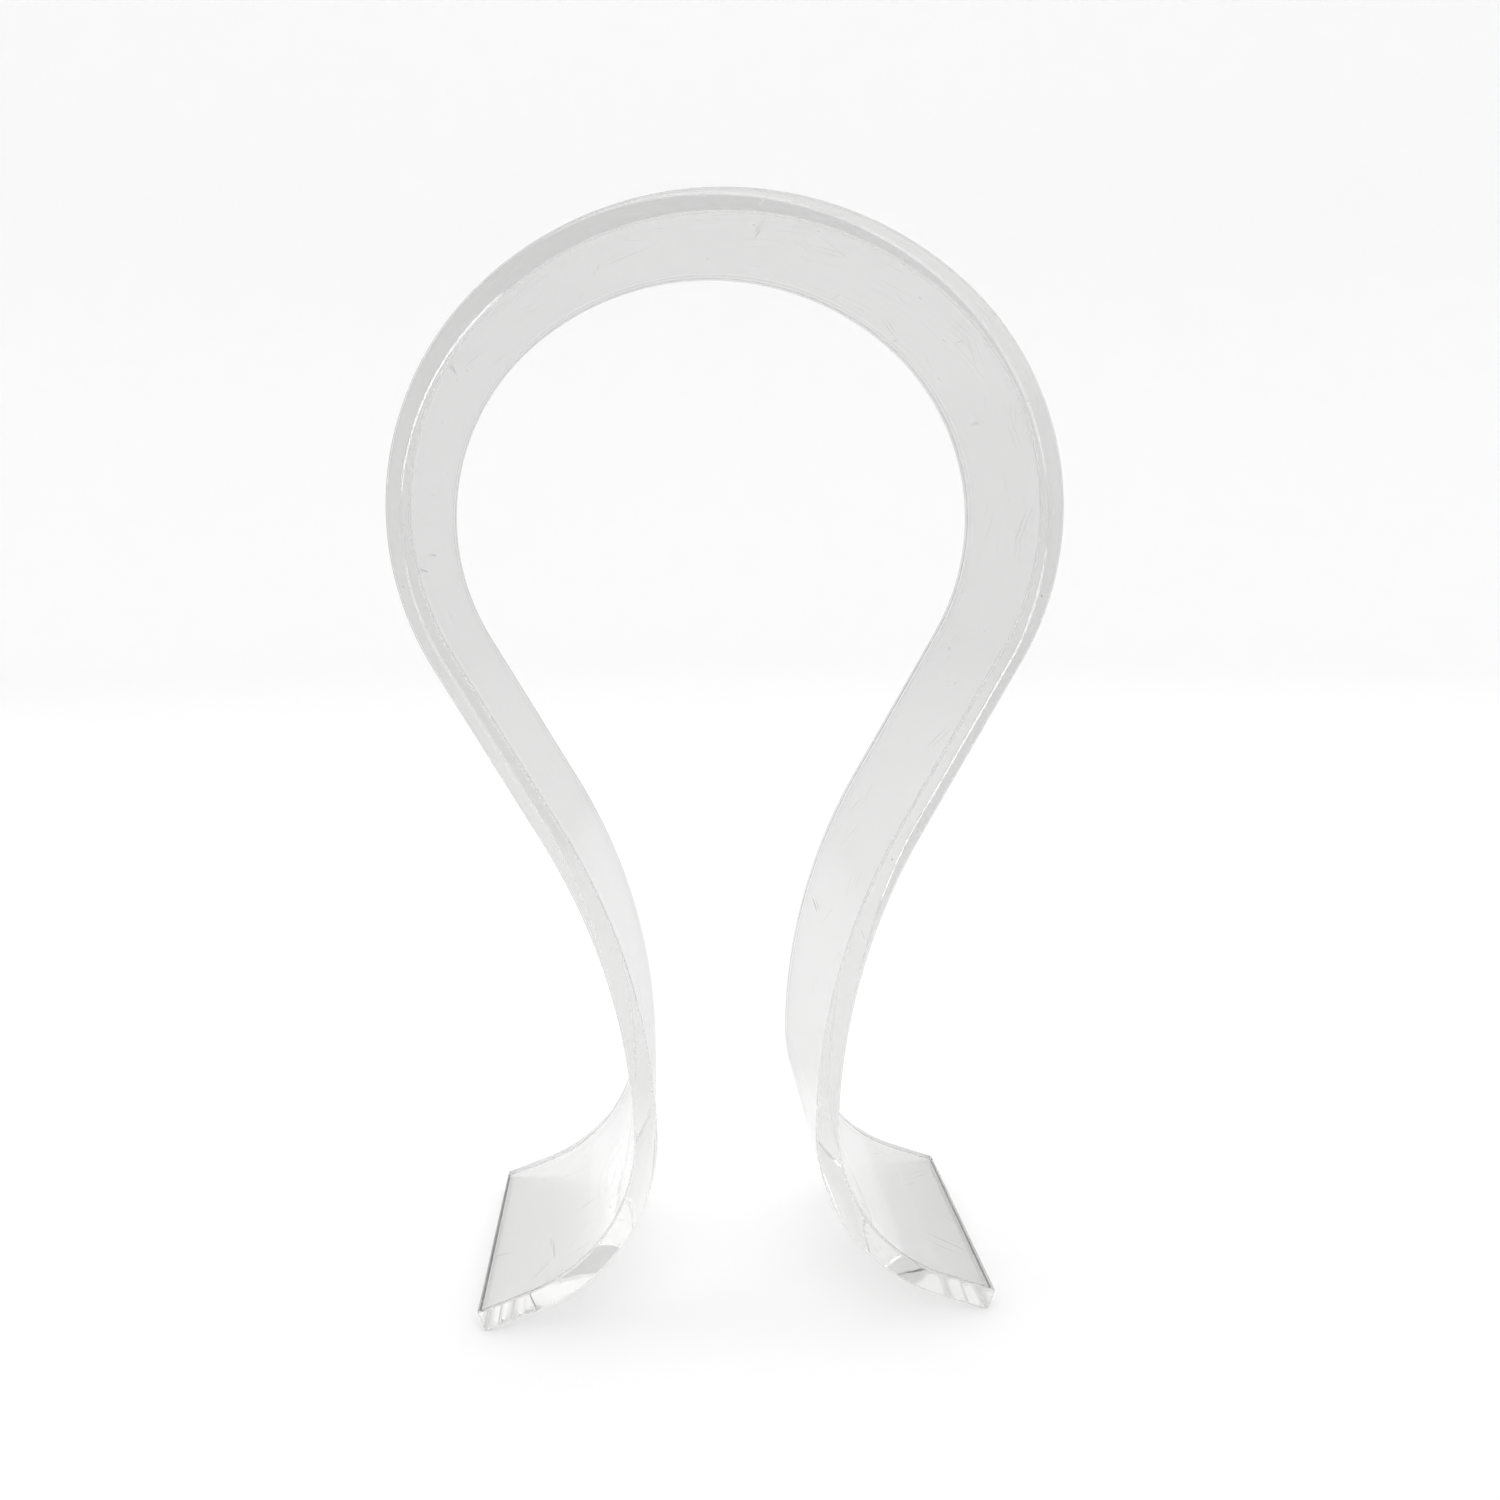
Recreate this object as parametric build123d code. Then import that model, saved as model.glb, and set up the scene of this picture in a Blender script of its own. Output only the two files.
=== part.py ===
from build123d import *
import os

# Headphone stand: one strip of clear acrylic, heat-bent into a keyhole-shaped loop
# with two outward feet. Millimetres and degrees. +Z is up, the strip's width runs
# along Y, and the origin is on the table, midway between the feet.
# Every bend radius is measured on the centreline of the strip's thickness.

# the strip before bending
strip_width = 75.0
strip_thickness = 5.0
edge_round = 0.5  # flame-polished edges

# the crown, where the headband rests: one arc across the top
crown_radius = 71.5
crown_turn = 80.0

# the shoulders, which turn the strip down and back in
shoulder_radius = 59.25
shoulder_turn = 80.0

# the flat run of each leg, leaning in towards the neck
leg_flat = 42.4

# the neck, where the legs come closest and turn upright
neck_radius = 136.5
neck_turn = 29.0

# the bend into each foot, and the flat run that ends at the tip
ankle_radius = 38.5
ankle_turn = 71.0
foot_flat = 12.0

# a foot's slope: 20 degrees, so that only its tip touches the table
foot_slope = crown_turn / 2 + shoulder_turn - neck_turn - ankle_turn

# the bend table for the left half, from the tip up: (length) or (radius, turn)
left_half = [
    (foot_flat,),
    (ankle_radius, ankle_turn),
    (neck_radius, neck_turn),
    (leg_flat,),
    (shoulder_radius, -shoulder_turn),
]
bend_table = left_half + [(crown_radius, -crown_turn)] + left_half[::-1]


def offset_path(side):
    """Edges of the strip's profile, side millimetres to the left of its centreline."""
    across = Vector(-1, 0).rotate(Axis.Z, foot_slope - 90) * side
    start = Vector(0, 0) + across
    heading = Vector(1, 0).rotate(Axis.Z, foot_slope)
    edges = []
    for step in bend_table:
        if len(step) == 1:
            edge = Line(start, start + heading * step[0])
        else:
            radius, turn = step
            left_turn = turn > 0
            edge = JernArc(start, heading, radius - side if left_turn else radius + side, turn)
        edges.append(edge)
        start = edge @ 1
        heading = edge % 1
    return edges


def strip_profile():
    """The bent strip seen end on: both faces of the strip and its two square-cut tips."""
    upper = offset_path(strip_thickness / 2)
    lower = offset_path(-strip_thickness / 2)
    left_tip = Line(lower[0] @ 0, upper[0] @ 0)
    right_tip = Line(upper[-1] @ 1, lower[-1] @ 1)
    return make_face(upper + [right_tip] + lower + [left_tip])


def bent_strip():
    """The whole part, standing on its two tips with the origin between them."""
    standing = Plane.XZ * strip_profile()
    strip = extrude(standing, amount=strip_width)
    strip = fillet(strip.edges(), edge_round)
    box = strip.bounding_box()
    centre = box.center()
    return Pos(-centre.X, -centre.Y, -box.min.Z) * strip


os.makedirs("parts", exist_ok=True)
bent_acrylic_strip = bent_strip()
export_step(bent_acrylic_strip, "parts/bent_acrylic_strip.step")
print("bent_acrylic_strip", bent_acrylic_strip.bounding_box().size, bent_acrylic_strip.volume)
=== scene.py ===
import bmesh
import bpy
import math
from mathutils import Matrix, Vector


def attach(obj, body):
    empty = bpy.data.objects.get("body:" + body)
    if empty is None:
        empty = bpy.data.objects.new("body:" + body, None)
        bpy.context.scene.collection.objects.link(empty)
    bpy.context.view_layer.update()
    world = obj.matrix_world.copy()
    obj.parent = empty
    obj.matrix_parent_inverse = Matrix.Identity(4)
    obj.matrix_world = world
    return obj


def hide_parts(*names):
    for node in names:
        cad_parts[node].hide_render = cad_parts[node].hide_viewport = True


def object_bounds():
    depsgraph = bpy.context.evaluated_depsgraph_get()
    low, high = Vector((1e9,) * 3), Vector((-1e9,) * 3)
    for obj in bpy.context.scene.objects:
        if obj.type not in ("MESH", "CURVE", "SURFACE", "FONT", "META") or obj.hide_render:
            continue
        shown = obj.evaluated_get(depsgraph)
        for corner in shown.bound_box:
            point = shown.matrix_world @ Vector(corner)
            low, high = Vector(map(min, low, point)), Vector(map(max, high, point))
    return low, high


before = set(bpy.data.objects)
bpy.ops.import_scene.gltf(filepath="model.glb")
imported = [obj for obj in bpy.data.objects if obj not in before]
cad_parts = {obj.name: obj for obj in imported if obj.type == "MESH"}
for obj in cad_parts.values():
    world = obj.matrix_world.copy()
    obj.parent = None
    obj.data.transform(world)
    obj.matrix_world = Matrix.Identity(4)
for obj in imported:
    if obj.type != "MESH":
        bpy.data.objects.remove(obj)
cadLow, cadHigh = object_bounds()
print("frame loaded:", ", ".join(sorted(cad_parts)))

# the path of the strip, shared by its mesh and its maps
stripPlan = {
    "node": "bent_acrylic_strip",
    "slot": "clear_acrylic",
    "thickness": 0.005,
    "faceReach": 0.6,  # of the thickness: nearer the middle than this is on the strip
    "tipSlope": 20.0,  # degrees, the rise of each foot from its tip
    "leftHalf": [  # run length in metres, or bend radius and turn, from the tip up to the crown
        ("run", 0.012),
        ("bend", 0.0385, 71.0),
        ("bend", 0.1365, 29.0),
        ("run", 0.0424),
        ("bend", 0.05925, -80.0),
    ],
    "crown": ("bend", 0.0715, -80.0),
}


def followStrip(plan):
    steps = plan["leftHalf"] + [plan["crown"]] + plan["leftHalf"][::-1]
    place, heading = Vector((0, 0, 0)), math.radians(plan["tipSlope"])
    station, legs = 0.0, []
    for step in steps:
        ahead = Vector((math.cos(heading), 0, math.sin(heading)))
        left = Vector((-math.sin(heading), 0, math.cos(heading)))
        leg = {"start": place.copy(), "heading": heading, "station": station, "kind": step[0]}
        leg.update(ahead=ahead, left=left)
        if step[0] == "run":
            leg.update(length=step[1])
            place = place + ahead * step[1]
        else:
            radius, turn = step[1], math.radians(step[2])
            leg.update(radius=radius, turn=turn, length=radius * abs(turn))
            leg["centre"] = place + left * math.copysign(radius, turn)
            place = leg["centre"] + Matrix.Rotation(-turn, 3, "Y") @ (place - leg["centre"])
            heading += turn
        legs.append(leg)
        station += leg["length"]
    crown = legs[len(plan["leftHalf"])]
    top = crown["centre"] + Vector((0, 0, crown["radius"] + plan["thickness"] / 2))
    middleX, middleY = (cadLow.x + cadHigh.x) / 2, (cadLow.y + cadHigh.y) / 2
    shift = Vector((middleX - top.x, middleY, cadHigh.z - top.z))
    for leg in legs:
        leg["start"] += shift
        if "centre" in leg:
            leg["centre"] += shift
    return legs


legs = followStrip(stripPlan)
runs = [leg for leg in legs if leg["kind"] == "run"]
stripLength = legs[-1]["station"] + legs[-1]["length"]
print("strip path:", len(legs), "legs,", round(stripLength * 1000, 1), "mm long")


# distance along the strip, and distance from the middle of its thickness
def placeOnStrip(point):
    best = None
    for leg in legs:
        if leg["kind"] == "run":
            away = point - leg["start"]
            along, off = away.dot(leg["ahead"]), away.dot(leg["left"])
        else:
            side = math.copysign(1, leg["turn"])
            armX, armZ = point.x - leg["centre"].x, point.z - leg["centre"].z
            inward, onward = -side * leg["left"], leg["ahead"]
            sweep = math.atan2(armX * onward.x + armZ * onward.z, armX * inward.x + armZ * inward.z)
            along = sweep * leg["radius"]
            off = side * (leg["radius"] - math.hypot(armX, armZ))
        beyond = max(0, -along, along - leg["length"])
        gap = beyond + max(0, abs(off) - stripPlan["faceReach"] * stripPlan["thickness"])
        if best is None or gap < best[0]:
            best = (gap, leg["station"] + along, off)
        if gap == 0:
            break
    return best[1], best[2]


stripMesh = {
    "name": "bentAcrylicStrip",
    "width": 0.075,
    "acrossCuts": 33,
    "runStep": 0.0025,
    "bendStep": 0.0006,  # short, so that the polished edge stays one smooth line
    "mergeWithin": 0.000001,
    "edgeRound": 0.0005,
    "roundSegments": 4,
    "roundFrom": 60,  # degrees between two faces
    "faceWeight": 100,
}

ripples = [
    {  # the heated faces are never quite flat, and the waves run along the heater
        "name": "formingWaves",
        "texture": "CLOUDS",
        "depth": 0.00002,
        "waveLength": 0.03,
        "stretch": 3.5,
        "fade": 0.006,
        "coldCalm": 0.8,  # how much of the wave is missing in the straight runs
        "repeat": 0.5,  # of the pattern, per wave
        "otherFace": 5.5,  # shift of the pattern, so that the two faces don't ripple alike
    },
    {  # nested wrinkles inside the left ankle, where the sheet was pressed round the former
        "name": "ankleWrinkles",
        "texture": "WOOD",
        "depth": 0.00005,
        "waveLength": 0.003,
        "stretch": 3.0,
        "centre": (0.037, -0.010),  # along the strip, and across it
        "reach": 0.009,
        "fullness": 1.6,
        "repeat": math.pi / 20,
        "otherFace": 0,
    },
]


def addTip(mesh, plan):
    bpy.ops.object.select_all(action="DESELECT")
    turned = (0, math.pi / 2 - legs[0]["heading"], 0)
    bpy.ops.mesh.primitive_plane_add(size=1, location=legs[0]["start"], rotation=turned)
    piece = bpy.context.active_object
    piece.name = mesh["name"]
    piece.scale = (plan["thickness"], mesh["width"], 1)
    bpy.ops.object.transform_apply(location=True, rotation=True, scale=True)
    return piece


def cutAcross(piece, mesh):
    bpy.ops.object.mode_set(mode="EDIT")
    bpy.ops.mesh.select_mode(type="EDGE")
    bpy.ops.mesh.select_all(action="DESELECT")
    edit = bmesh.from_edit_mesh(piece.data)
    for edge in edit.edges:
        if abs(edge.verts[0].co.y - edge.verts[1].co.y) > mesh["width"] / 2:
            edge.select = True
    bmesh.update_edit_mesh(piece.data)
    bpy.ops.mesh.subdivide(number_cuts=mesh["acrossCuts"])
    bpy.ops.mesh.select_mode(type="FACE")
    bpy.ops.mesh.select_all(action="SELECT")


def bendAlong(mesh):
    for leg in legs:
        steps = round(leg["length"] / mesh["runStep" if leg["kind"] == "run" else "bendStep"])
        if leg["kind"] == "run":
            move = leg["length"] / steps
            ahead = (math.cos(leg["heading"]) * move, 0, math.sin(leg["heading"]) * move)
            for _ in range(steps):
                bpy.ops.mesh.extrude_region_move(TRANSFORM_OT_translate={"value": ahead})
        else:
            bpy.ops.mesh.spin(steps=steps, angle=leg["turn"], center=leg["centre"], axis=(0, 1, 0))
    bpy.ops.mesh.select_all(action="SELECT")
    bpy.ops.mesh.remove_doubles(threshold=mesh["mergeWithin"])
    bpy.ops.mesh.normals_make_consistent(inside=False)
    bpy.ops.object.mode_set(mode="OBJECT")
    bpy.ops.object.shade_smooth()


def smoothStep(value):
    value = min(1, max(0, value))
    return value * value * (3 - 2 * value)


def waveWeight(plan, along, across):  # full where the sheet was hot, none at its edges and tips
    sides = (stripMesh["width"] / 2 - abs(across)) / plan["fade"]
    tips = min(along, stripLength - along) / plan["fade"] - 1
    heat = 1.0
    for run in runs:
        inside = min(along - run["station"], run["station"] + run["length"] - along)
        if inside > 0:
            heat = 1 - plan["coldCalm"] * smoothStep(inside / plan["fade"] / 2)
    return smoothStep(sides) * smoothStep(tips) * heat


def wrinkleWeight(plan, along, across, off):  # an oval patch on the upper face
    aside = along - plan["centre"][0], (across - plan["centre"][1]) / plan["stretch"]
    inward = 1 - math.hypot(*aside) / plan["reach"]
    return smoothStep(plan["fullness"] * inward) if off > 0 else 0


def rippleFaces(piece, plan, places):  # inward only, so the strip keeps its outline and its size
    group = piece.vertex_groups.new(name=plan["name"])
    flatMap = piece.data.uv_layers.new(name=plan["name"])
    pattern = bpy.data.textures.new(plan["name"], plan["texture"])
    rings = plan["texture"] == "WOOD"
    if rings:
        pattern.wood_type = "RINGS"
    else:
        pattern.noise_scale = 1
    perMetre = plan["repeat"] / plan["waveLength"]
    middleAlong, middleAcross = plan.get("centre", (0, 0))
    for vertex, (along, off) in zip(piece.data.vertices, places):
        across = vertex.co.y
        if rings:
            weight = wrinkleWeight(plan, along, across, off)
        else:
            weight = waveWeight(plan, along, across)
        if weight > 0:
            group.add([vertex.index], weight, "REPLACE")
    for loop in piece.data.loops:
        along, off = places[loop.vertex_index]
        across = piece.data.vertices[loop.vertex_index].co.y
        otherFace = 0 if off > 0 else plan["otherFace"]
        flatMap.data[loop.index].uv = (
            0.5 + (along - middleAlong) * perMetre + otherFace,
            0.5 + (across - middleAcross) * perMetre / plan["stretch"],
        )
    ripple = piece.modifiers.new(plan["name"], "DISPLACE")
    ripple.texture = pattern
    ripple.texture_coords = "UV"
    ripple.uv_layer = plan["name"]
    ripple.vertex_group = group.name
    ripple.strength = plan["depth"]
    ripple.mid_level = 1.0
    bpy.ops.object.modifier_apply(modifier=ripple.name)
    piece.data.uv_layers.remove(piece.data.uv_layers[plan["name"]])
    piece.vertex_groups.clear()


def roundEdges(piece, mesh):
    bevel = piece.modifiers.new("polishedEdge", "BEVEL")
    bevel.width = mesh["edgeRound"]
    bevel.segments = mesh["roundSegments"]
    bevel.limit_method = "ANGLE"
    bevel.angle_limit = math.radians(mesh["roundFrom"])
    bpy.ops.object.modifier_apply(modifier=bevel.name)
    weighted = piece.modifiers.new("trueFaces", "WEIGHTED_NORMAL")
    weighted.weight = mesh["faceWeight"]
    bpy.ops.object.modifier_apply(modifier=weighted.name)


# where each point was on the flat strip: along, across, through
def storeFlatPlace(piece):
    stored = piece.data.attributes.new("flatPlace", "FLOAT_VECTOR", "POINT")
    for vertex in piece.data.vertices:
        along, off = placeOnStrip(vertex.co)
        stored.data[vertex.index].vector = (along, vertex.co.y, off)


strip = addTip(stripMesh, stripPlan)
cutAcross(strip, stripMesh)
bendAlong(stripMesh)
placesBefore = [placeOnStrip(v.co) for v in strip.data.vertices]
for ripplePlan in ripples:
    rippleFaces(strip, ripplePlan, placesBefore)
roundEdges(strip, stripMesh)
storeFlatPlace(strip)
print("strip modelled:", len(strip.data.polygons), "faces")


def newGroup(name, inputs, outputs):
    group = bpy.data.node_groups.new(name, "ShaderNodeTree")
    for label, kind, value in inputs:
        socket = group.interface.new_socket(label, in_out="INPUT", socket_type=kind)
        if value is not None:
            socket.default_value = value
    for label, kind in outputs:
        group.interface.new_socket(label, in_out="OUTPUT", socket_type=kind)
    return group, group.nodes.new("NodeGroupInput"), group.nodes.new("NodeGroupOutput")


def addNode(tree, kind, settings=None, **values):
    node = tree.nodes.new(kind)
    for key, value in (settings or {}).items():
        setattr(node, key, value)
    for key, value in values.items():
        node.inputs[key.replace("_", " ")].default_value = value
    return node


def addMath(tree, operation, first, second=None, clamp=False):
    node = addNode(tree, "ShaderNodeMath", {"operation": operation, "use_clamp": clamp})
    for socket, value in zip(node.inputs, (first, second)):
        if isinstance(value, (int, float)):
            socket.default_value = value
        elif value is not None:
            tree.links.new(value, socket)
    return node.outputs[0]


# source from low..high becomes start..end
def addRamp(tree, source, low, high, start=0.0, end=1.0):
    node = addNode(tree, "ShaderNodeMapRange", {"clamp": True})
    tree.links.new(source, node.inputs["Value"])
    for key, value in zip(("From Min", "From Max", "To Min", "To Max"), (low, high, start, end)):
        node.inputs[key].default_value = value
    return node.outputs["Result"]


def addNoise(tree, source, plan):
    noise = addNode(tree, "ShaderNodeTexNoise")
    for key in ("Scale", "Detail", "Roughness"):
        noise.inputs[key].default_value = plan[key.lower()]
    tree.links.new(source, noise.inputs["Vector"])
    return noise.outputs["Fac"]


def placeGroup(tree, group, values, sources):
    node = tree.nodes.new("ShaderNodeGroup")
    node.node_tree = group
    for label, value in values.items():
        node.inputs[label].default_value = value
    for label, source in sources.items():
        tree.links.new(source, node.inputs[label])
    return node.outputs["Mask"]


hairlineLook = {
    "noise": {"scale": 1.0, "detail": 1.0, "roughness": 0.4},
    "level": 0.78,  # of the noise, above which a line shows
    "sharpness": 14.0,
}


def makeHairlines(look):  # thin scratches in one direction, broken up and far apart
    inputs = [
        ("Place", "NodeSocketVector", None),
        ("Turn", "NodeSocketVector", (0, 0, 0)),
        ("Shift", "NodeSocketVector", (0, 0, 0)),
        ("Fineness", "NodeSocketFloat", 2600.0),
        ("Shortness", "NodeSocketFloat", 60.0),
        ("Share", "NodeSocketFloat", 0.03),
    ]
    group, start, end = newGroup("hairlines", inputs, [("Mask", "NodeSocketFloat")])
    turned = addNode(group, "ShaderNodeVectorRotate", {"rotation_type": "EULER_XYZ"})
    group.links.new(start.outputs["Place"], turned.inputs["Vector"])
    group.links.new(start.outputs["Turn"], turned.inputs["Rotation"])
    moved = addNode(group, "ShaderNodeVectorMath", {"operation": "ADD"})
    group.links.new(turned.outputs["Vector"], moved.inputs[0])
    group.links.new(start.outputs["Shift"], moved.inputs[1])
    sizes = addNode(group, "ShaderNodeCombineXYZ")
    for axis, label in zip("XYZ", ("Shortness", "Fineness", "Shortness")):
        group.links.new(start.outputs[label], sizes.inputs[axis])
    scaled = addNode(group, "ShaderNodeVectorMath", {"operation": "MULTIPLY"})
    group.links.new(moved.outputs["Vector"], scaled.inputs[0])
    group.links.new(sizes.outputs["Vector"], scaled.inputs[1])
    streaks = addNoise(group, scaled.outputs["Vector"], look["noise"])
    level = addMath(group, "SUBTRACT", look["level"], start.outputs["Share"])
    over = addMath(group, "SUBTRACT", streaks, level)
    mask = addMath(group, "MULTIPLY", over, look["sharpness"], clamp=True)
    group.links.new(mask, end.inputs["Mask"])
    return group


speckLook = {"spacing": 220.0, "size": 0.09, "share": 0.6, "sharpness": 60.0}


def makeSpecks(look):  # dust and pin-prick marks
    inputs = [
        ("Place", "NodeSocketVector", None),
        ("Spacing", "NodeSocketFloat", look["spacing"]),
        ("Size", "NodeSocketFloat", look["size"]),
        ("Share", "NodeSocketFloat", look["share"]),
    ]
    group, start, end = newGroup("specks", inputs, [("Mask", "NodeSocketFloat")])
    cells = addNode(group, "ShaderNodeTexVoronoi", {"feature": "F1"})
    group.links.new(start.outputs["Place"], cells.inputs["Vector"])
    group.links.new(start.outputs["Spacing"], cells.inputs["Scale"])
    pick = addNode(group, "ShaderNodeSeparateColor")
    group.links.new(cells.outputs["Color"], pick.inputs["Color"])
    kept = addMath(group, "LESS_THAN", pick.outputs["Red"], start.outputs["Share"])
    radius = addMath(group, "MULTIPLY", pick.outputs["Green"], start.outputs["Size"])
    inside = addMath(group, "SUBTRACT", radius, cells.outputs["Distance"])
    dot = addMath(group, "MULTIPLY", inside, look["sharpness"], clamp=True)
    group.links.new(addMath(group, "MULTIPLY", dot, kept), end.inputs["Mask"])
    return group


hairlines, specks = makeHairlines(hairlineLook), makeSpecks(speckLook)

acrylicFinish = {
    "name": "clearAcrylic",
    "tint": (0.985, 0.983, 0.98, 1),
    "ior": 1.49,
    "absorbColor": (0.66, 0.655, 0.64, 1),
    "absorbDensity": 2.6,
    "shadowTint": (0.97, 0.97, 0.97, 1),
    "edgeBand": (0.0003, 0.00005),  # in from the side, where the sheet's face ends
    "polish": 0.008,
    "haze": 0.022,
    "handling": {"scale": 45.0, "detail": 3.0, "roughness": 0.6, "limits": (0.45, 0.7)},
    "scratchTint": (0.72, 0.715, 0.71, 1),
    "scratchColour": 0.8,
    "scratchRelief": -0.00002,
    "scuffRoughness": 0.25,
    "scratches": [  # turn about the sheet's normal, shift, share of the surface, lines per metre
        {"turn": 0.35, "shift": 0.0, "share": 0.040, "fineness": 1700, "shortness": 50},
        {"turn": -0.9, "shift": 3.1, "share": 0.030, "fineness": 1500, "shortness": 40},
        {"turn": 1.5, "shift": 7.7, "share": 0.020, "fineness": 900, "shortness": 45},
    ],
    "rubReach": (0.03, 0.11),  # from the crown's middle, where a headband rubs
    "rubFace": (0, 0.002),  # from the middle of the thickness, so on the outer face only
    "rubShare": (0.6, 2),  # times the share of scratches, away from the rub and in it
    "dustRoughness": 0.35,
    "streaks": {"scale": 1.0, "detail": 3.0, "roughness": 0.5, "limits": (0.4, 0.75)},
    "streakSizes": (35, 1, 1500),
    "streakRoughness": 0.09,
    "streakRelief": 0.0000015,
    "edgeRipple": {"scale": 150.0, "detail": 1.0, "roughness": 0.4},
    "edgeRippleRelief": 0.000003,
    "tipReach": (0.0004, 0.0022),  # from the tip, where the foot wears on the table
    "tipFace": (-0.0018, -0.0024),
    "tipRoughness": 0.30,
}


def addScratches(tree, finish, flat, rubbed):
    scratched = None
    few, many = finish["rubShare"]
    for plan in finish["scratches"]:
        share = addRamp(tree, rubbed, 0, 1, plan["share"] * few, plan["share"] * many)
        values = {
            "Turn": (0, 0, plan["turn"]),
            "Shift": (plan["shift"], 0, 0),
            "Fineness": plan["fineness"],
            "Shortness": plan["shortness"],
        }
        mask = placeGroup(tree, hairlines, values, {"Place": flat, "Share": share})
        scratched = mask if scratched is None else addMath(tree, "MAXIMUM", scratched, mask)
    return scratched


def makeAcrylic(finish):
    material = bpy.data.materials.new(finish["name"])
    material.use_nodes = True
    tree = material.node_tree
    shader, output = tree.nodes["Principled BSDF"], tree.nodes["Material Output"]
    shader.inputs["IOR"].default_value = finish["ior"]
    shader.inputs["Transmission Weight"].default_value = 1
    flat = addNode(tree, "ShaderNodeAttribute", {"attribute_name": "flatPlace"}).outputs["Vector"]
    apart = addNode(tree, "ShaderNodeSeparateXYZ")
    tree.links.new(flat, apart.inputs["Vector"])
    along, through = apart.outputs["X"], apart.outputs["Z"]
    fromSide = addMath(tree, "ABSOLUTE", apart.outputs["Y"])
    half = stripMesh["width"] / 2
    cutEdge = addRamp(tree, fromSide, *[half - inward for inward in finish["edgeBand"]])
    sheetFace = addMath(tree, "SUBTRACT", 1.0, cutEdge)

    # hairline scratches on the sheet's faces, most of them where a headband rubs on the crown
    fromCrown = addMath(tree, "ABSOLUTE", addMath(tree, "SUBTRACT", along, stripLength / 2))
    nearCrown = addRamp(tree, fromCrown, *finish["rubReach"], 1, 0)
    rubbed = addMath(tree, "MULTIPLY", nearCrown, addRamp(tree, through, *finish["rubFace"]))
    scratched = addScratches(tree, finish, flat, rubbed)
    scratched = addMath(tree, "MULTIPLY", scratched, sheetFace)
    dusty = placeGroup(tree, specks, {}, {"Place": flat})

    # streaks left along the cut edges by the saw, softened by the flame
    edgeSizes = addNode(tree, "ShaderNodeVectorMath", {"operation": "MULTIPLY"})
    edgeSizes.inputs[1].default_value = finish["streakSizes"]
    tree.links.new(flat, edgeSizes.inputs[0])
    edgeStreaks = addNoise(tree, edgeSizes.outputs["Vector"], finish["streaks"])
    edgeRipple = addNoise(tree, flat, finish["edgeRipple"])

    # worn undersides of the tips
    fromTip = addMath(tree, "MINIMUM", along, addMath(tree, "SUBTRACT", stripLength, along))
    nearTip = addRamp(tree, fromTip, *finish["tipReach"], 1, 0)
    underTip = addMath(tree, "MULTIPLY", nearTip, addRamp(tree, through, *finish["tipFace"]))

    # roughness
    handled = addNoise(tree, flat, finish["handling"])
    rough = addRamp(tree, handled, *finish["handling"]["limits"], finish["polish"], finish["haze"])
    sawn = addRamp(tree, edgeStreaks, *finish["streaks"]["limits"], 0.0, finish["streakRoughness"])
    for mask, amount in (
        (scratched, finish["scuffRoughness"]),
        (dusty, finish["dustRoughness"]),
        (cutEdge, sawn),
    ):
        rough = addMath(tree, "ADD", rough, addMath(tree, "MULTIPLY", mask, amount))
    worn = addMath(tree, "MULTIPLY", underTip, finish["tipRoughness"])
    tree.links.new(addMath(tree, "MAXIMUM", rough, worn), shader.inputs["Roughness"])

    # colour
    colour = addNode(tree, "ShaderNodeMix", {"data_type": "RGBA"})
    colour.inputs["A"].default_value = finish["tint"]
    colour.inputs["B"].default_value = finish["scratchTint"]
    lines = addMath(tree, "MULTIPLY", scratched, finish["scratchColour"])
    tree.links.new(addMath(tree, "MAXIMUM", lines, dusty), colour.inputs["Factor"])
    tree.links.new(colour.outputs["Result"], shader.inputs["Base Color"])

    # relief in metres
    faceRelief = addMath(tree, "MULTIPLY", scratched, finish["scratchRelief"])
    streakRelief = addMath(tree, "MULTIPLY", edgeStreaks, finish["streakRelief"])
    rippleRelief = addMath(tree, "MULTIPLY", edgeRipple, finish["edgeRippleRelief"])
    bothReliefs = addMath(tree, "ADD", streakRelief, rippleRelief)
    edgeRelief = addMath(tree, "MULTIPLY", bothReliefs, cutEdge)
    bump = addNode(tree, "ShaderNodeBump", Strength=1.0, Distance=1.0)
    tree.links.new(addMath(tree, "ADD", faceRelief, edgeRelief), bump.inputs["Height"])
    tree.links.new(bump.outputs["Normal"], shader.inputs["Normal"])

    # depth of colour, and lamps that shine straight through
    inside = addNode(tree, "ShaderNodeVolumeAbsorption")
    inside.inputs["Color"].default_value = finish["absorbColor"]
    inside.inputs["Density"].default_value = finish["absorbDensity"]
    tree.links.new(inside.outputs["Volume"], output.inputs["Volume"])
    passLight = addNode(tree, "ShaderNodeBsdfTransparent", Color=finish["shadowTint"])
    lampsPass = addNode(tree, "ShaderNodeMixShader")
    shadowRay = addNode(tree, "ShaderNodeLightPath").outputs["Is Shadow Ray"]
    tree.links.new(shadowRay, lampsPass.inputs[0])
    tree.links.new(shader.outputs["BSDF"], lampsPass.inputs[1])
    tree.links.new(passLight.outputs["BSDF"], lampsPass.inputs[2])
    tree.links.new(lampsPass.outputs["Shader"], output.inputs["Surface"])
    return material


strip.data.materials.clear()
strip.data.materials.append(makeAcrylic(acrylicFinish))
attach(strip, "root")
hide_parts(stripPlan["node"])

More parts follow.
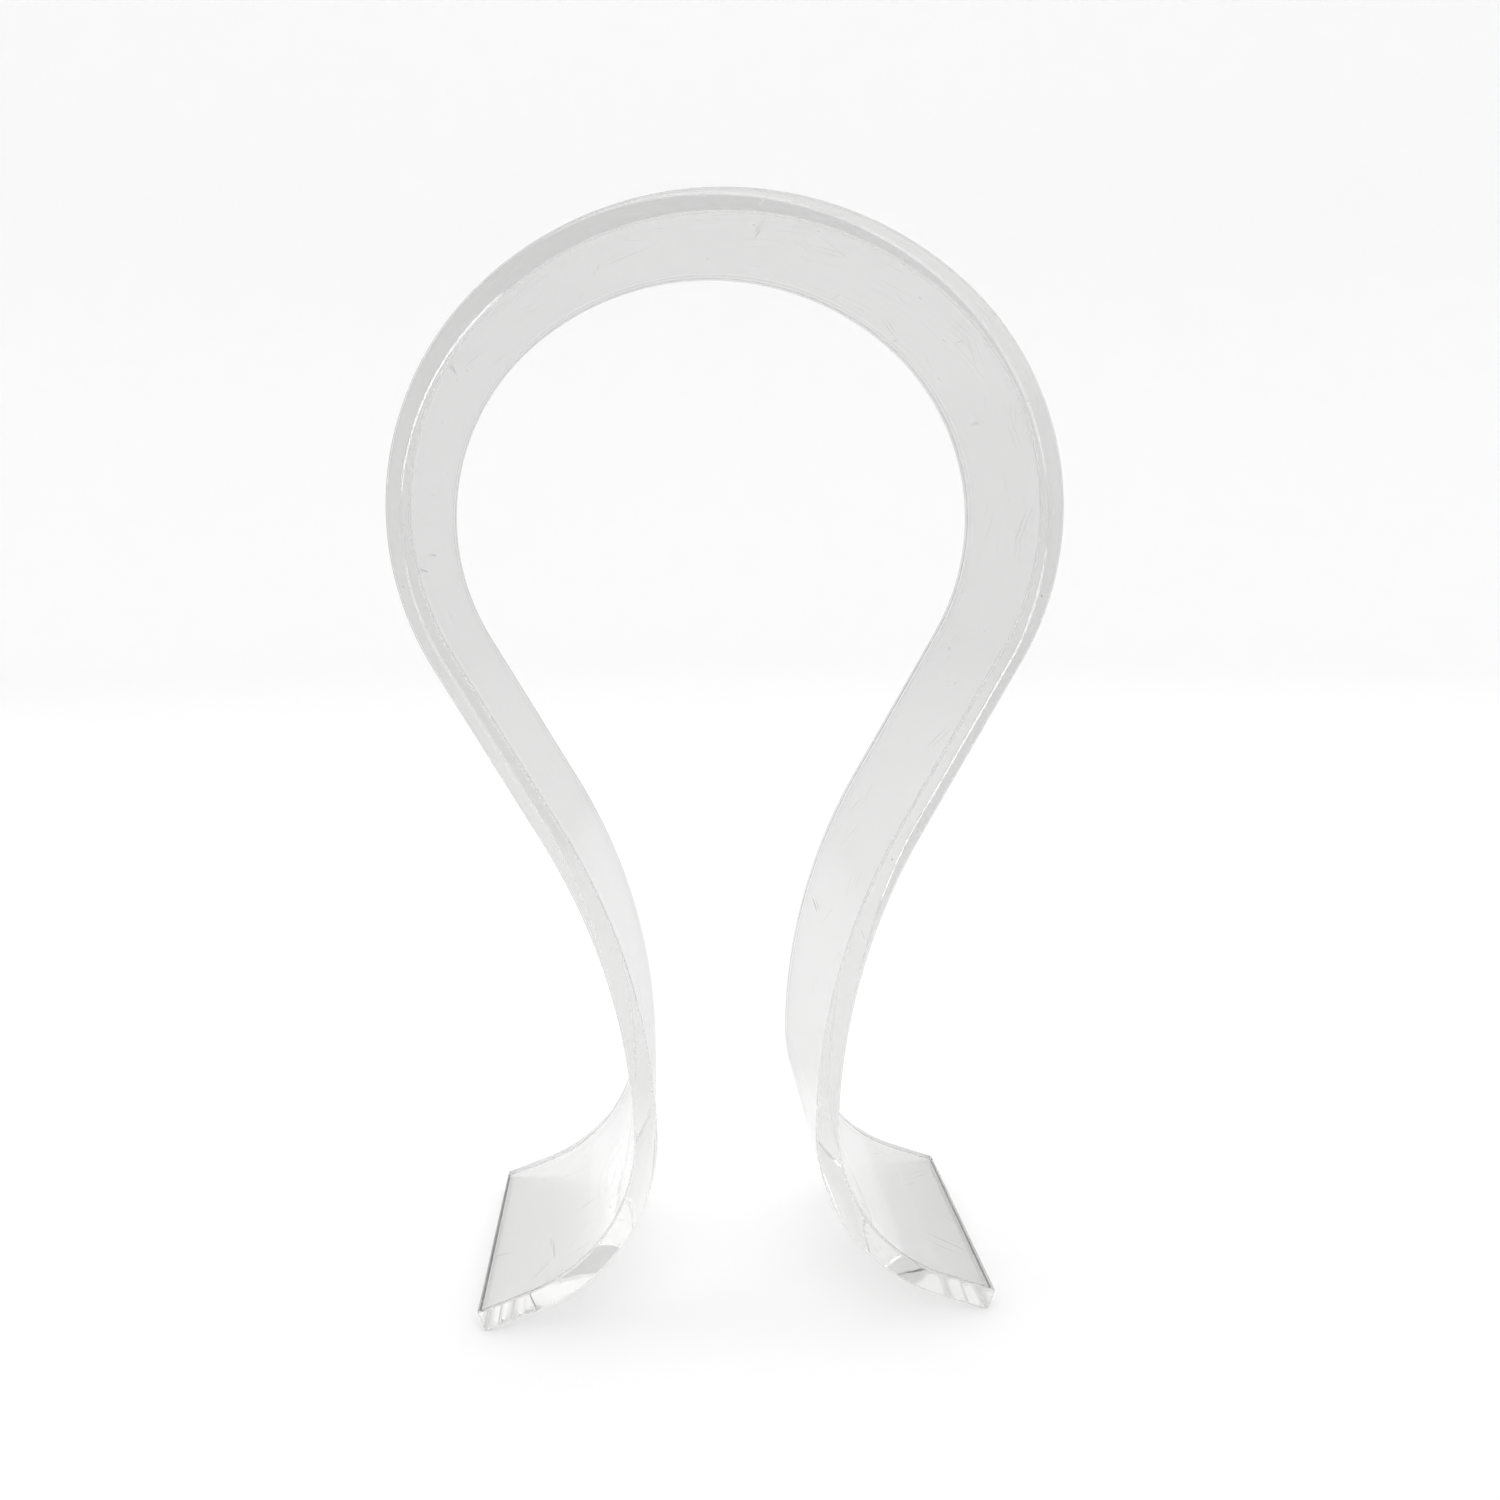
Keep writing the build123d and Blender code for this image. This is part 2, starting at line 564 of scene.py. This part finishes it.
stage = {
    "name": "studioSweep",
    "floorRadius": 2.0,
    "sweepRadius": 0.8,
    "wallHeight": 2.4,
    "around": 96,
    "sweepSteps": 12,
    "roughness": 0.9,
    "pale": (0.92, 0.92, 0.92, 1),
    # painted pool of light round the stand's feet, fading into painted shade with distance: the
    # floor's colour as seen only in and through the strip
    "paintedPoolInStrip": [(0.06, 0.96), (0.14, 0.75), (1.5, 0.74), (4.0, 0.65)],
    "paintedPoolCentre": (-0.05, 0, 0),
    "distanceSizes": (1, 1, 3),  # height counts for more
}


# one colour seen directly, another seen in or through the strip: on the floor that second colour is
# painted shade with a painted pool of light, on the sky it is dimmer lamp light
def throughAcrylic(tree, plain, dimmed):
    path = addNode(tree, "ShaderNodeLightPath")
    glossy, passing = path.outputs["Is Glossy Ray"], path.outputs["Is Transmission Ray"]
    bent = addMath(tree, "MAXIMUM", glossy, passing)
    # light on its way to the floor stays whole
    unlit = addMath(tree, "LESS_THAN", path.outputs["Diffuse Depth"], 0.5)
    mixed = addNode(tree, "ShaderNodeMix", {"data_type": "RGBA"})
    mixed.inputs["A"].default_value = plain
    if isinstance(dimmed, tuple):
        mixed.inputs["B"].default_value = dimmed
    else:
        tree.links.new(dimmed, mixed.inputs["B"])
    tree.links.new(addMath(tree, "MULTIPLY", bent, unlit), mixed.inputs["Factor"])
    return mixed.outputs["Result"]


def sweepFloor(stage):  # a round pale floor that curves up into a wall, the same from all sides
    bpy.ops.object.select_all(action="DESELECT")
    bpy.ops.mesh.primitive_circle_add(
        vertices=stage["around"], radius=stage["floorRadius"], fill_type="NGON"
    )
    floor = bpy.context.active_object
    floor.name = stage["name"]
    bpy.ops.object.mode_set(mode="EDIT")
    bpy.ops.mesh.select_mode(type="EDGE")
    bpy.ops.mesh.select_all(action="SELECT")
    radius, height = stage["floorRadius"], 0.0
    for step in range(1, stage["sweepSteps"] + 1):
        turn = math.pi / 2 * step / stage["sweepSteps"]
        newRadius = stage["floorRadius"] + stage["sweepRadius"] * math.sin(turn)
        newHeight = stage["sweepRadius"] * (1 - math.cos(turn))
        rise = newHeight - height
        bpy.ops.mesh.extrude_edges_move(TRANSFORM_OT_translate={"value": (0, 0, rise)})
        wider = newRadius / radius
        bpy.ops.transform.resize(value=(wider, wider, 1), center_override=(0, 0, 0))
        radius, height = newRadius, newHeight
    rise = stage["wallHeight"] - height
    bpy.ops.mesh.extrude_edges_move(TRANSFORM_OT_translate={"value": (0, 0, rise)})
    bpy.ops.mesh.select_all(action="SELECT")
    bpy.ops.mesh.normals_make_consistent(inside=True)
    bpy.ops.object.mode_set(mode="OBJECT")
    bpy.ops.object.shade_smooth()
    return floor


def makeFloorWithPaintedPool(stage):
    material = bpy.data.materials.new("paleSweepWithPaintedPool")
    material.use_nodes = True
    tree = material.node_tree
    shader = tree.nodes["Principled BSDF"]
    shader.inputs["Roughness"].default_value = stage["roughness"]
    shader.inputs["Specular IOR Level"].default_value = 0.0
    # painted pool of light and painted shade: the floor's colour in and through the strip,
    # brightest round the feet and darker farther away
    stretched = addNode(tree, "ShaderNodeVectorMath", {"operation": "MULTIPLY_ADD"})
    stretched.inputs[1].default_value = stage["distanceSizes"]
    stretched.inputs[2].default_value = [-place for place in stage["paintedPoolCentre"]]
    place = addNode(tree, "ShaderNodeTexCoord").outputs["Object"]
    tree.links.new(place, stretched.inputs[0])
    away = addNode(tree, "ShaderNodeVectorMath", {"operation": "LENGTH"})
    tree.links.new(stretched.outputs["Vector"], away.inputs[0])
    farthest = stage["paintedPoolInStrip"][-1][0]
    paintedPoolInStrip = addNode(tree, "ShaderNodeValToRGB")
    share = addMath(tree, "DIVIDE", away.outputs["Value"], farthest)
    tree.links.new(share, paintedPoolInStrip.inputs["Fac"])
    stops = paintedPoolInStrip.color_ramp.elements
    for distance, grey in stage["paintedPoolInStrip"][1:-1]:
        stops.new(distance / farthest).color = (grey, grey, grey, 1)
    for end in (0, -1):
        distance, grey = stage["paintedPoolInStrip"][end]
        stops[end].position, stops[end].color = distance / farthest, (grey, grey, grey, 1)
    shown = throughAcrylic(tree, stage["pale"], paintedPoolInStrip.outputs["Color"])
    tree.links.new(shown, shader.inputs["Base Color"])
    return material


lights = [
    {"name": "overhead", "at": (0.3, -0.8, 2.1), "size": (1.6, 1.2), "power": 3.5},
    {"name": "leftBox", "at": (-1.2, -0.6, 0.9), "size": (0.07, 1.2), "power": 2.0},
    {"name": "rightBox", "at": (1.3, -0.3, 1.0), "size": (0.07, 1.2), "power": 1.8},
]


def addLight(plan, target):
    data = bpy.data.lights.new(plan["name"], "AREA")
    data.shape = "RECTANGLE"
    data.size, data.size_y = plan["size"]
    data.energy = plan["power"]
    light = bpy.data.objects.new(plan["name"], data)
    bpy.context.scene.collection.objects.link(light)
    light.location = plan["at"]
    light.rotation_euler = (target - light.location).to_track_quat("-Z", "Y").to_euler()
    light.visible_camera = False


sky = {
    "pale": (1.0, 1.0, 1.0, 1),
    "behindAcrylic": (0.58, 0.575, 0.575, 1),
    "strength": 1.16,
}


def makeSky(sky):
    world = bpy.data.worlds.new("studio")
    world.use_nodes = True
    tree = world.node_tree
    background = tree.nodes["Background"]
    shown = throughAcrylic(tree, sky["pale"], sky["behindAcrylic"])
    tree.links.new(shown, background.inputs["Color"])
    background.inputs["Strength"].default_value = sky["strength"]
    bpy.context.scene.world = world


cameraPlan = {
    "at": (-0.01716, -0.3460, 0.16678),
    "turnRight": 0.0673,
    "lookDown": 0.1293,
    "roll": -0.0101,
    "lens": 35.76,
    "sensor": 36,
    "nearest": 0.01,
}


def addCamera(plan):
    right = Vector((math.cos(plan["turnRight"]), -math.sin(plan["turnRight"]), 0))
    level = Vector((math.sin(plan["turnRight"]), math.cos(plan["turnRight"]), 0))
    ahead = level * math.cos(plan["lookDown"]) - Vector((0, 0, 1)) * math.sin(plan["lookDown"])
    up = right.cross(ahead)
    across = right * math.cos(plan["roll"]) + up * math.sin(plan["roll"])
    upward = up * math.cos(plan["roll"]) - right * math.sin(plan["roll"])
    data = bpy.data.cameras.new("studioCamera")
    data.lens = plan["lens"]
    data.sensor_width = plan["sensor"]
    data.clip_start = plan["nearest"]
    camera = bpy.data.objects.new("studioCamera", data)
    bpy.context.scene.collection.objects.link(camera)
    turned = Matrix((across, upward, -ahead)).transposed()
    camera.matrix_world = Matrix.Translation(plan["at"]) @ turned.to_4x4()
    bpy.context.scene.camera = camera


floor = sweepFloor(stage)
floor.data.materials.append(makeFloorWithPaintedPool(stage))
middle = (cadLow + cadHigh) / 2
for plan in lights:
    addLight(plan, middle)
makeSky(sky)
bpy.context.scene.view_settings.view_transform = "Standard"
bounces = 48  # light runs a long way inside the strip, as it does in a real one
bpy.context.scene.cycles.max_bounces = bounces
bpy.context.scene.cycles.transmission_bounces = bounces
bpy.context.scene.cycles.glossy_bounces = bounces
addCamera(cameraPlan)
print("stage, light and camera set")
